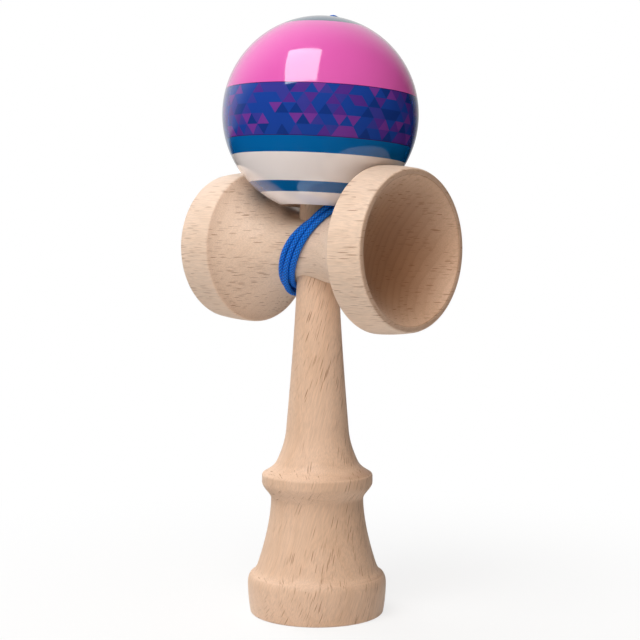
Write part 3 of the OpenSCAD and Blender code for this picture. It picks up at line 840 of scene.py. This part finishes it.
def beech_group():
    """Node group for beech: growth rings, short flecks along the grain, fine fibres and darker end grain. Its
    vector, in metres, and its normal have the grain along Z and the growth rings across Y."""
    name = "Beech figure"
    if name in bpy.data.node_groups:
        return bpy.data.node_groups[name]
    beech = bpy.context.scene.kendama_beech
    tree = bpy.data.node_groups.new(name, "ShaderNodeTree")
    for way, kind, sockets in BEECH_SOCKETS:
        for socket in sockets:
            tree.interface.new_socket(socket, in_out=way, socket_type=kind)
    given = tree.nodes.new("NodeGroupInput").outputs
    vector = given["Vector"]

    # Growth rings round a pith that lies outside the piece, bent by a slow noise
    waver = noise(tree, scaled(tree, vector, BEND_SCALE)).outputs[0]
    place = add_node(tree, "ShaderNodeSeparateXYZ", {"Vector": vector}).outputs
    squares = []
    for side, shift in zip(place, PITH):
        squares.append(math_node(tree, "POWER", math_node(tree, "ADD", side, shift), 2.0))
    reach = math_node(tree, "SQRT", math_node(tree, "ADD", *squares))
    bent = math_node(tree, "ADD", reach, math_node(tree, "MULTIPLY", waver, RING_BEND))
    ring = math_node(tree, "FRACT", math_node(tree, "DIVIDE", bent, beech.ring_width))
    late = smooth_range(tree, ring, *LATE_STARTS)
    early = smooth_range(tree, ring, *LATE_ENDS, 1.0, 0.0)
    late_wood = math_node(tree, "MULTIPLY", late, early)

    # Broad tone and fine fibres along the grain
    tone = noise(tree, scaled(tree, vector, TONE_SCALE), detail=3.0).outputs[0]
    fibre = noise(tree, scaled(tree, vector, FIBRE_SCALE), detail=3.0, roughness=0.6).outputs[0]

    # Flecks: short dashes along the grain, with some cells left empty and zones that have more of them
    cells = scaled(tree, vector, (1 / beech.fleck_width, 1 / beech.fleck_depth, 1 / beech.fleck_length))
    sway = noise(tree, cells, SWAY_SCALE, 1.0).outputs[1]
    swayed = vector_node(tree, "MULTIPLY_ADD", sway, FLECK_SWAY, cells).outputs[0]
    dash = add_node(tree, "ShaderNodeTexVoronoi", {"Vector": swayed, "Scale": 1.0, "Randomness": 1.0}).outputs
    zone = noise(tree, scaled(tree, vector, ZONE_SCALE)).outputs[0]
    lot = add_node(tree, "ShaderNodeSeparateColor", {"Color": dash["Color"]}).outputs
    crowd = smooth_range(tree, zone, *FLECK_CROWD)
    kept = math_node(tree, "LESS_THAN", lot[0], math_node(tree, "MULTIPLY", crowd, given["Flecks"]))
    line = smooth_range(tree, dash["Distance"], *FLECK_EDGE)
    strength = math_node(tree, "MULTIPLY_ADD", lot[1], *FLECK_STRENGTH)
    fleck = math_node(tree, "MULTIPLY", math_node(tree, "MULTIPLY", line, kept), strength)

    # A fleck seen on its flat side is faint, and wood cut across its grain is darker
    facing = add_node(tree, "ShaderNodeSeparateXYZ", {"Vector": given["Normal"]}).outputs
    flat = smooth_range(tree, math_node(tree, "ABSOLUTE", facing[0]), *FLECK_FLAT)
    fleck = math_node(tree, "MULTIPLY", fleck, flat)
    across = smooth_range(tree, math_node(tree, "ABSOLUTE", facing[2]), given["End start"], 1.0)
    end_cut = math_node(tree, "MULTIPLY", across, given["End grain"], clamp=True)

    # Colour, roughness and height
    blotch = math_node(tree, "MULTIPLY_ADD", tone, *TONE_SHADE)
    shade = math_node(tree, "MULTIPLY_ADD", late_wood, LATE_SHADE, blotch, clamp=True)
    wood = mix_colour(tree, shade, given["Pale"], given["Warm"])
    fine = smooth_range(tree, fibre, *FIBRE_SHADE)
    wood = mix_colour(tree, 1.0, wood, fine, "MULTIPLY")
    end_blotch = math_node(tree, "MULTIPLY", blotch, END_TONE)
    end_shade = math_node(tree, "MULTIPLY_ADD", late_wood, LATE_END_SHADE, end_blotch, clamp=True)
    end_wood = mix_colour(tree, end_shade, beech.end_grain, beech.fleck)
    wood = mix_colour(tree, end_cut, wood, end_wood)
    wood = mix_colour(tree, fleck, wood, beech.fleck)
    rough = math_node(tree, "MULTIPLY_ADD", fibre, *FIBRE_ROUGH)
    rough = math_node(tree, "MULTIPLY_ADD", fleck, FLECK_ROUGH, rough, clamp=True)
    raised = math_node(tree, "MULTIPLY", fibre, FIBRE_HEIGHT)
    height = math_node(tree, "MULTIPLY_ADD", fleck, -1.0, raised)
    add_node(tree, "NodeGroupOutput", {"Color": wood, "Roughness": rough, "Height": height})
    return tree


def beech_material(name, tones, shift, flecks=1.0, end_grain=0.7, end_start=0.76, heart=90.0, lean=0.0):
    """Sanded beech in a pale and a warm tone, with its figure taken from another place of the board for each
    piece. End grain starts where the surface faces along the grain by more than a share. The growth rings
    lie across the heart direction, an angle in degrees round local Z, and the grain leans round it."""
    material, tree, shader = new_material(name)
    coords = tree.nodes.new("ShaderNodeTexCoord").outputs
    turn = Matrix.Rotation(math.radians(lean), 3, "Y") @ Matrix.Rotation(math.radians(90 - heart), 3, "Z")
    angles = turn.to_euler()
    moved = {"Vector": coords["Object"], "Location": shift, "Rotation": angles}
    turned = {"Vector": coords["Normal"], "Rotation": angles}
    figure = {
        "Vector": add_node(tree, "ShaderNodeMapping", moved).outputs[0],
        "Normal": add_node(tree, "ShaderNodeMapping", turned, vector_type="NORMAL").outputs[0],
        "Pale": tones[0],
        "Warm": tones[1],
        "Flecks": flecks,
        "End grain": end_grain,
        "End start": end_start,
    }
    wood = add_node(tree, "ShaderNodeGroup", figure, node_tree=beech_group()).outputs
    grain = {"Strength": 0.35, "Distance": 0.00012, "Height": wood["Height"]}
    look = {
        "Base Color": wood["Color"],
        "Roughness": wood["Roughness"],
        "Normal": add_node(tree, "ShaderNodeBump", grain).outputs[0],
        "Specular IOR Level": 0.55,
        "Sheen Weight": 0.15,
        "Sheen Roughness": 0.4,
    }
    feed_named(tree, shader, look)
    return material


def lacquer_material(ball):
    """Glossy lacquer in bands along the ball's axis, with a mosaic of small triangles in one of them."""
    material, tree, shader = new_material("Ball lacquer")
    place = object_place(tree)
    x, y, height = add_node(tree, "ShaderNodeSeparateXYZ", {"Vector": place}).outputs

    # A triangle of the mosaic is told by the three strips that it lies in
    around = math_node(tree, "ARCTAN2", y, x)
    column = math_node(tree, "MULTIPLY", around, MOSAIC_COLUMNS / (2 * math.pi))
    row_share = MOSAIC_ROWS / (ball.pink_edge + ball.mosaic_edge)
    row = math_node(tree, "MULTIPLY", math_node(tree, "ADD", height, ball.mosaic_edge), row_share)
    half_row = math_node(tree, "MULTIPLY", row, 0.5)
    strips = []
    for operation in ("ADD", "SUBTRACT"):
        strip = math_node(tree, operation, column, half_row)
        strips.append(math_node(tree, "WRAP", strip, MOSAIC_COLUMNS, 0.0))
    tile = tree.nodes.new("ShaderNodeCombineXYZ")
    feed(tree, tile.inputs, [math_node(tree, "FLOOR", strip) for strip in (*strips, row)])
    lot = add_node(tree, "ShaderNodeTexWhiteNoise", noise_dimensions="3D")
    feed_named(tree, lot, {"Vector": tile.outputs[0]})
    ramp = add_node(tree, "ShaderNodeValToRGB", {"Fac": lot.outputs["Value"]})
    ramp.color_ramp.interpolation = "CONSTANT"
    blue, purple = Vector(ball.mosaic_blue), Vector(ball.mosaic_purple)
    tones = (blue, blue.lerp(purple, 0.4), purple, blue * 0.7, purple + Vector(PLUM_SHIFT))
    for k, (start, tone) in enumerate(zip(TONE_STARTS, tones)):
        stop = ramp.color_ramp.elements[k] if k < 2 else ramp.color_ramp.elements.new(start)
        stop.position = start
        stop.color = (*tone, 1.0)

    # The bands, from the mouth to the cap, with a thin dark line round the mosaic
    line = tuple(purple * KEYLINE_SHADE)
    bands = [
        (-ball.stripe_edge, ball.stripe),
        (-ball.white_edge, ball.white),
        (-ball.blue_edge, ball.blue),
        (-ball.mosaic_edge - KEYLINE, line),
        (-ball.mosaic_edge, ramp.outputs[0]),
        (ball.pink_edge - KEYLINE, line),
        (ball.pink_edge, ball.pink),
        (ball.cap_edge, ball.cap),
    ]
    paint = ball.white
    for edge, tone in bands:
        paint = mix_colour(tree, math_node(tree, "GREATER_THAN", height, edge), paint, tone)
    ripple = noise(tree, place, RIPPLE_SCALE, 1.0).outputs[0]
    bump = add_node(tree, "ShaderNodeBump", {"Strength": 0.03, "Distance": 0.0002, "Height": ripple})
    look = {
        "Base Color": paint,
        "Normal": bump.outputs[0],
        "Roughness": smooth_range(tree, ripple, *NOISE_MIDDLE, *LACQUER_ROUGH),
        "Specular IOR Level": 0.3,
        "Coat Weight": 1.0,
        "Coat Roughness": 0.02,
        "Coat IOR": 1.5,
    }
    feed_named(tree, shader, look)
    return material


def string_material(cord):
    """Braided string: bright strands, with painted shade in the dark gaps between them."""
    material, tree, shader = new_material("Braided string")
    braid = add_node(tree, "ShaderNodeUVMap", uv_map="braid").outputs[0]
    place = add_node(tree, "ShaderNodeSeparateXYZ", {"Vector": braid}).outputs
    waves = []
    for operation in ("ADD", "SUBTRACT"):
        phase = math_node(tree, operation, place[0], place[1])
        waves.append(math_node(tree, "SINE", math_node(tree, "MULTIPLY", phase, math.pi / 2)))
    lift = math_node(tree, "ABSOLUTE", math_node(tree, "MULTIPLY", *waves))
    # Painted shade: where the strands dip, the colour turns to the dark colour of the gaps.
    strand = smooth_range(tree, lift, *STRAND_EDGE)
    # Painted glints: a noise turns some of the fibres paler, towards the glint colour.
    fuzz = noise(tree, braid, FUZZ_SCALE).outputs[0]
    glint = smooth_range(tree, fuzz, *NOISE_MIDDLE, *GLINT_SHARE)
    glinted_fibres = mix_colour(tree, glint, cord.bright, cord.glint)
    look = {
        "Base Color": mix_colour(tree, strand, cord.dark, glinted_fibres),
        "Roughness": math_node(tree, "MULTIPLY_ADD", fuzz, *STRING_ROUGH),
        "Specular IOR Level": 0.25,
    }
    feed_named(tree, shader, look)
    return material


def bead_material(cord):
    """Smooth bead with a faint mottle."""
    material, tree, shader = new_material("Bead")
    mottle = noise(tree, object_place(tree), MOTTLE_SCALE, 3.0).outputs[0]
    shade = tuple(MOTTLE_SHADE * c for c in cord.bead)
    paint = mix_colour(tree, smooth_range(tree, mottle, *NOISE_MIDDLE), cord.bead, shade)
    feed_named(tree, shader, {"Base Color": paint, "Roughness": 0.35})
    return material


# Stage

CAMERA_PLACE = (0.321211, -0.353299, 0.124590)
CAMERA_TURN = (85.966, -0.2075, 42.21)
SENSOR_WIDTH = 36.0
CLIP_START = 0.01
WHITE = (1.0, 1.0, 1.0)
# Size of each lamp, the direction that it shines from, the direction of its width, and its distance
LAMP_AIM = Vector((0.0, 0.0, 0.15))
SOFTBOX = ((0.537, 0.705), (0.089, -0.545, 0.834), (0.917, 0.379, 0.152), 0.9)
PANEL = ((1.0, 1.0), (-0.85, 0.1, 0.5), (-0.1, -0.85, 0.0), 1.1)
FILL = ((0.8, 0.8), (0.55, -0.80, 0.72), (0.80, 0.55, 0.0), 1.1)
SOFTBOX_TILT = 14.0
AMBIENT_TINT = (1.0, 0.90, 0.80)
# The floor's half width, its tone, where it turns white, and how white it is at the object
FLOOR_REACH = 4.0
FLOOR_TONE = (0.85, 0.85, 0.85)
FLOOR_FADE = (0.03, 0.22)
FLOOR_WHITE = 0.78
# The dark room's size and mesh, the hole in its floor, and the direction, spread and level of its glow
ROOM_RADIUS = 1.7
ROOM_FLOOR = 0.0005
ROOM_HOLE = 0.05
ROOM_SIDES, ROOM_ROWS = 72, 15
GLOW_TURN = CAMERA_TURN[2] + 111
GLOW_TILT = 40.0
GLOW_RANGE = (0.35, 1.0)
GLOW_LEVEL = 0.75


class KENDAMA_OT_set_stage(bpy.types.Operator):
    """Place the camera, the studio lights, the floor and the white background"""

    bl_idname = "kendama.set_stage"
    bl_label = "Set the stage"

    def execute(self, context):
        stage = context.scene.kendama_stage
        context.scene.view_settings.view_transform = "Standard"
        add_camera(context, stage)
        add_lights(context, stage)
        add_floor()
        add_dark_room()
        add_world(context, stage)
        return {"FINISHED"}


def add_camera(context, stage):
    """The photograph's viewing angle."""
    data = bpy.data.cameras.new("Camera")
    data.lens = stage.lens
    data.sensor_width = SENSOR_WIDTH
    data.clip_start = CLIP_START
    camera = bpy.data.objects.new("Camera", data)
    camera.location = CAMERA_PLACE
    camera.rotation_euler = [math.radians(a) for a in CAMERA_TURN]
    context.scene.collection.objects.link(camera)
    context.scene.camera = camera


def add_lamp(context, name, form, power, tint=WHITE, tilt=0.0, mirrored=False):
    """A soft rectangular lamp that shines on the ball, with its top tilted back by an angle in degrees. Gloss
    shows it only if it is mirrored."""
    size, away, across, distance = form
    data = bpy.data.lights.new(name, "AREA")
    data.shape = "RECTANGLE"
    data.size, data.size_y = size
    data.energy = power
    data.color = tint
    lamp = bpy.data.objects.new(name, data)
    away = Vector(away).normalized()
    up = away.cross(Vector(across)).normalized()
    aim = Matrix((up.cross(away), up, away)).transposed()
    lamp.rotation_euler = (aim @ Matrix.Rotation(math.radians(tilt), 3, "X")).to_euler()
    lamp.location = LAMP_AIM + away * distance
    context.scene.collection.objects.link(lamp)
    lamp.visible_glossy = mirrored


def add_lights(context, stage):
    """A softbox high over the crosspiece's front, a broad panel behind the object at the left, and a weak
    fill above the camera."""
    add_lamp(context, "Softbox", SOFTBOX, stage.key, tilt=SOFTBOX_TILT, mirrored=True)
    add_lamp(context, "Panel", PANEL, stage.panel, stage.panel_tint)
    add_lamp(context, "Fill", FILL, stage.fill, stage.fill_tint)


def add_floor():
    """A pale floor that keeps the shadow near the object and turns white further out."""
    corners = [(x * FLOOR_REACH, y * FLOOR_REACH, 0.0) for x, y in ((-1, -1), (1, -1), (1, 1), (-1, 1))]
    floor = add_mesh("Floor", corners, [(0, 1, 2, 3)])
    material, tree, blend = new_material("Pale floor", "ShaderNodeMixShader")
    pale = add_node(tree, "ShaderNodeBsdfDiffuse", {"Color": FLOOR_TONE})
    white = tree.nodes.new("ShaderNodeEmission")
    reach = vector_node(tree, "LENGTH", object_place(tree)).outputs["Value"]
    far = smooth_range(tree, reach, *FLOOR_FADE, FLOOR_WHITE, 1.0)
    seen_white = math_node(tree, "MULTIPLY", far, seen_rays(tree))
    feed(tree, blend.inputs, (seen_white, pale.outputs[0], white.outputs[0]))
    floor.data.materials.append(material)


def add_dark_room():
    """A dark dome and floor with a soft glow behind the object, which only gloss shows."""
    dome = arc((0.0, ROOM_FLOOR), ROOM_RADIUS, 90, 0, ROOM_ROWS)
    room = lathe("Dark room", dome + [(ROOM_HOLE, ROOM_FLOOR)], ROOM_SIDES)
    material, tree, glow = new_material("Dark room", "ShaderNodeEmission")
    turn, tilt = math.radians(GLOW_TURN), math.radians(GLOW_TILT)
    aim = Vector((math.cos(turn) * math.cos(tilt), math.sin(turn) * math.cos(tilt), math.sin(tilt)))
    near = vector_node(tree, "DOT_PRODUCT", object_place(tree), aim / ROOM_RADIUS).outputs["Value"]
    feed_named(tree, glow, {"Strength": smooth_range(tree, near, *GLOW_RANGE, 0.0, GLOW_LEVEL)})
    room.data.materials.append(material)
    room.visible_camera = room.visible_diffuse = room.visible_shadow = room.visible_transmission = False


def add_world(context, stage):
    """Soft light from all round, which the camera and reflections see as white."""
    world = bpy.data.worlds.new("Studio")
    tree = cleared_tree(world)
    soft = add_node(tree, "ShaderNodeBackground", {"Color": AMBIENT_TINT, "Strength": stage.ambient})
    white = add_node(tree, "ShaderNodeBackground", {"Color": WHITE, "Strength": 1.0})
    blend = tree.nodes.new("ShaderNodeMixShader")
    feed(tree, blend.inputs, (seen_rays(tree), soft.outputs[0], white.outputs[0]))
    out = tree.nodes.new("ShaderNodeOutputWorld")
    tree.links.new(blend.outputs[0], out.inputs[0])
    context.scene.world = world


# Pieces

WOOD_SIDES, BORE_SIDES, DRILL_SIDES, BALL_SIDES, BEAD_SIDES = 144, 96, 48, 160, 64
# Turn of the crosspiece's bores, in degrees, which keeps their corners off its own edges
OFF_EDGES = 1.1
# Start of the knot's recess, from the ken's axis, and the depth and width of the string hole's flare
DRILL_START = 0.004
FLARE_DEPTH, FLARE_WIDTH = 0.0006, 0.0005
# Margin within which a face counts as part of a cup's hollow
HOLLOW_MARGIN = 0.0001
# Place of each piece in the board, and the heart direction and lean of the ken's grain, in degrees
KEN_BOARD = (0.0, 0.0, 0.0)
CROSS_BOARD = (0.031, 0.012, 0.2)
BALL_BOARD = (0.1, 0.05, 0.4)
KEN_HEART, KEN_LEAN = -25.0, 16.0
KNOT_POINTS = 96
# The string's play in the bead, and the bead's roundings outside and at its hole
BEAD_PLAY = 0.0002
BEAD_EDGE = 0.0016
BEAD_EASE = 0.0004


class KENDAMA_OT_wind_string(bpy.types.Operator):
    """Braid the string along its route and tie its two knots"""

    bl_idname = "kendama.wind_string"
    bl_label = "Wind the string"

    def execute(self, context):
        scene = context.scene
        cord, cross, ball = scene.kendama_string, scene.kendama_crosspiece, scene.kendama_ball
        material = string_material(cord)
        route = string_route(cord, cross, scene.kendama_ken, ball)

        def outward(point):
            if point.z < SARADO_HIGH.z and point.y < ball.width / 3:
                return Vector((0.0, point.y, point.z - SARADO_Z))
            return point - Vector((0.0, ball.shift, ball.centre_z))

        def drawn(point):
            low, high = RUN_THINS
            t = (point.z - SARADO_Z - low) / (high - low)
            return 1 - (1 - cord.route_d / cord.width) * level(min(1.0, max(0.0, t)))

        string, path = braided_tube("braided_string", route, cord, cord.width, outward=outward, drawn=drawn)
        knots = []
        for name, node in (("anchor_knot_tied", "anchor_knot"), ("end_knot_tied", "end_knot")):
            knots.append(tie_knot(name, node, cord, ball))
        for piece in (string, *knots):
            piece.data.materials.append(material)
        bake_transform(string)
        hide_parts("string_winding", "string_run", "string_tail")
        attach(knots[0], "sarado")
        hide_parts("anchor_knot")
        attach(knots[1], "string_end")
        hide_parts("end_knot")
        return {"FINISHED"}


def tie_knot(name, node, cord, ball):
    """An overhand knot, drawn tight to the size of its place in the frame."""
    low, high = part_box(node)
    middle = (low + high) / 2
    if node == "anchor_knot":
        turn = Matrix.Rotation(math.radians(90), 4, "X")
        width, tall = high.x - low.x, high.y - low.y
    else:
        turn = Matrix.Rotation(-ball.lean, 4, "X")
        width, tall = high.x - low.x, high.z - low.z
    loop_r = (width - cord.knot_width) / 2 / 3
    rise = max(0.0, tall - cord.knot_width) / 2
    route = []
    for i in range(KNOT_POINTS + 1):
        t = 2 * math.pi * i / KNOT_POINTS
        r = loop_r * (2 + math.cos(3 * t))
        route.append(Vector((r * math.cos(2 * t), r * math.sin(2 * t), rise * math.sin(3 * t))))
    knot, _ = braided_tube(name, route, cord, cord.knot_width, closed=True)
    knot.matrix_world = Matrix.Translation(middle) @ turn
    return knot


class KENDAMA_OT_turn_ken(bpy.types.Operator):
    """Turn the handle with its base cup and its spike"""

    bl_idname = "kendama.turn_ken"
    bl_label = "Turn the ken"

    def execute(self, context):
        scene = context.scene
        profile = ken_profile(scene.kendama_ken, scene.kendama_crosspiece.waist_d / 2)
        ken = lathe("turned_ken", profile, WOOD_SIDES)
        beech = scene.kendama_beech
        tones = (beech.ken_pale, beech.ken_warm)
        wood = beech_material("Ken beech", tones, KEN_BOARD, heart=KEN_HEART, lean=KEN_LEAN)
        ken.data.materials.append(wood)
        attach(ken, "ken")
        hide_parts("ken")
        return {"FINISHED"}


class KENDAMA_OT_turn_crosspiece(bpy.types.Operator):
    """Turn the crosspiece with its two cups and bore it for the spike and the string"""

    bl_idname = "kendama.turn_crosspiece"
    bl_label = "Turn the crosspiece"

    def execute(self, context):
        scene = context.scene
        cross, ken = scene.kendama_crosspiece, scene.kendama_ken
        middle = Matrix.Translation((0.0, 0.0, SARADO_Z))
        place = middle @ Matrix.Rotation(math.radians(90), 4, "Y")
        piece = lathe("turned_crosspiece", crosspiece_profile(cross), WOOD_SIDES, place)
        reach = cross.waist_d / 2 + SEAT_OVERRUN
        low_r, high_r = (seat_radius(ken, z) + cross.seat_gap for z in (-reach, reach))
        off_edges = Matrix.Rotation(math.radians(OFF_EDGES), 4, "Z")
        bore = [(0, -reach), (low_r, -reach), (high_r, reach), (0, reach)]
        cut(piece, lathe("bore", bore, BORE_SIDES, middle @ off_edges))
        backwards = middle @ Matrix.Rotation(math.radians(-90), 4, "X") @ off_edges
        recess_r, hole_r = cross.recess_d / 2, cross.hole_d / 2
        drill = [
            (0, DRILL_START),
            (recess_r, DRILL_START),
            (recess_r, cross.recess_y),
            (hole_r, cross.recess_y),
            (hole_r, cross.waist_d / 2 - FLARE_DEPTH),
            (hole_r + FLARE_WIDTH, reach),
            (0, reach),
        ]
        cut(piece, lathe("drill", drill, DRILL_SIDES, backwards))
        beech = scene.kendama_beech
        outside_tones = (beech.cross_pale, beech.cross_warm)
        hollow_tones = (beech.ken_pale, beech.ken_warm)
        outside = beech_material("Crosspiece beech", outside_tones, CROSS_BOARD, end_grain=0.45)
        # The cups' hollows get darker tones and end grain over nearly all their faces: partly the real end
        # grain of a turned cup, partly painted shade in the hollows.
        hollow = beech_material("Cup beech with painted shade", hollow_tones, CROSS_BOARD, end_grain=0.95, end_start=0.4)
        piece.data.materials.append(outside)
        piece.data.materials.append(hollow)
        mark_hollows(piece, cross)
        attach(piece, "sarado")
        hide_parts("sarado")
        return {"FINISHED"}


def mark_hollows(piece, cross):
    """Gives the second material, darker with end grain and painted shade, to the faces inside the two cups.
    """
    big, small = cup_sizes(cross, "big"), cup_sizes(cross, "small")
    for polygon in piece.data.polygons:
        along, away = polygon.center.z, polygon.center.xy.length
        facing = polygon.normal.z * along
        _, _, rim_r, depth = big if along > 0 else small
        deep = abs(along) > SARADO_LENGTH / 2 - depth - HOLLOW_MARGIN
        if deep and away < rim_r - cross.cup_wall and facing > 0:
            polygon.material_index = 1


class KENDAMA_OT_lacquer_ball(bpy.types.Operator):
    """Turn and drill the ball and lacquer it in bands"""

    bl_idname = "kendama.lacquer_ball"
    bl_label = "Lacquer the ball"

    def execute(self, context):
        ball, beech = context.scene.kendama_ball, context.scene.kendama_beech
        skin, wood = ball_profile(ball)
        obj = lathe("lacquered_ball", skin + wood, BALL_SIDES, ball_place(ball), closed=True)
        tones = (beech.ken_pale, beech.ken_warm)
        obj.data.materials.append(lacquer_material(ball))
        obj.data.materials.append(beech_material("Ball beech", tones, BALL_BOARD))
        painted = (len(skin) - 1) * BALL_SIDES
        for k, polygon in enumerate(obj.data.polygons):
            polygon.material_index = 0 if k < painted else 1
        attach(obj, "tama")
        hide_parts("tama")
        return {"FINISHED"}


class KENDAMA_OT_thread_bead(bpy.types.Operator):
    """Thread the bead that stops the string inside the ball"""

    bl_idname = "kendama.thread_bead"
    bl_label = "Thread the bead"

    def execute(self, context):
        cord, ball = context.scene.kendama_string, context.scene.kendama_ball
        outer, hole = cord.bead_d / 2, cord.width / 2 + BEAD_PLAY
        low, high = END_KNOT_TOP, END_KNOT_TOP + cord.bead_l
        profile = arc((outer - BEAD_EDGE, low + BEAD_EDGE), BEAD_EDGE, -90, 0, EDGE_POINTS)
        profile += arc((outer - BEAD_EDGE, high - BEAD_EDGE), BEAD_EDGE, 0, 90, EDGE_POINTS)
        profile += eased((outer, high), (hole, high), (hole, low), BEAD_EASE)
        profile += eased((hole, high), (hole, low), (outer, low), BEAD_EASE)
        bead = lathe("threaded_bead", profile, BEAD_SIDES, ball_place(ball), closed=True)
        bead.data.materials.append(bead_material(cord))
        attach(bead, "string_end")
        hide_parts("bead")
        return {"FINISHED"}


class KENDAMA_PT_workshop(bpy.types.Panel):
    """Lists the kendama's pieces and their sizes and colours"""

    bl_idname = "KENDAMA_PT_workshop"
    bl_label = "Kendama"
    bl_space_type = "VIEW_3D"
    bl_region_type = "UI"
    bl_category = "Kendama"

    def draw(self, context):
        layout = self.layout
        for operator in OPERATORS:
            layout.operator(operator.bl_idname)
        for name, label, _ in GROUPS:
            group = getattr(context.scene, name)
            box = layout.box()
            box.label(text=label)
            for key in group.bl_rna.properties.keys():
                if key not in ("rna_type", "name"):
                    box.prop(group, key)


OPERATORS = (
    KENDAMA_OT_set_stage,
    KENDAMA_OT_wind_string,
    KENDAMA_OT_turn_ken,
    KENDAMA_OT_turn_crosspiece,
    KENDAMA_OT_lacquer_ball,
    KENDAMA_OT_thread_bead,
)
GROUPS = (
    ("kendama_ken", "Ken", KenSettings),
    ("kendama_crosspiece", "Crosspiece", CrosspieceSettings),
    ("kendama_ball", "Ball", BallSettings),
    ("kendama_beech", "Beech", BeechSettings),
    ("kendama_string", "String", StringSettings),
    ("kendama_stage", "Stage", StageSettings),
)


def register():
    for name, _, group in GROUPS:
        bpy.utils.register_class(group)
        setattr(bpy.types.Scene, name, bpy.props.PointerProperty(type=group))
    for operator in OPERATORS:
        bpy.utils.register_class(operator)
    bpy.utils.register_class(KENDAMA_PT_workshop)


def unregister():
    bpy.utils.unregister_class(KENDAMA_PT_workshop)
    for operator in reversed(OPERATORS):
        bpy.utils.unregister_class(operator)
    for name, _, group in reversed(GROUPS):
        delattr(bpy.types.Scene, name)
        bpy.utils.unregister_class(group)


def main():
    register()
    bpy.ops.kendama.set_stage()
    bpy.ops.kendama.wind_string()
    bpy.ops.kendama.turn_ken()
    bpy.ops.kendama.turn_crosspiece()
    bpy.ops.kendama.lacquer_ball()
    bpy.ops.kendama.thread_bead()


if __name__ == "__main__":
    main()
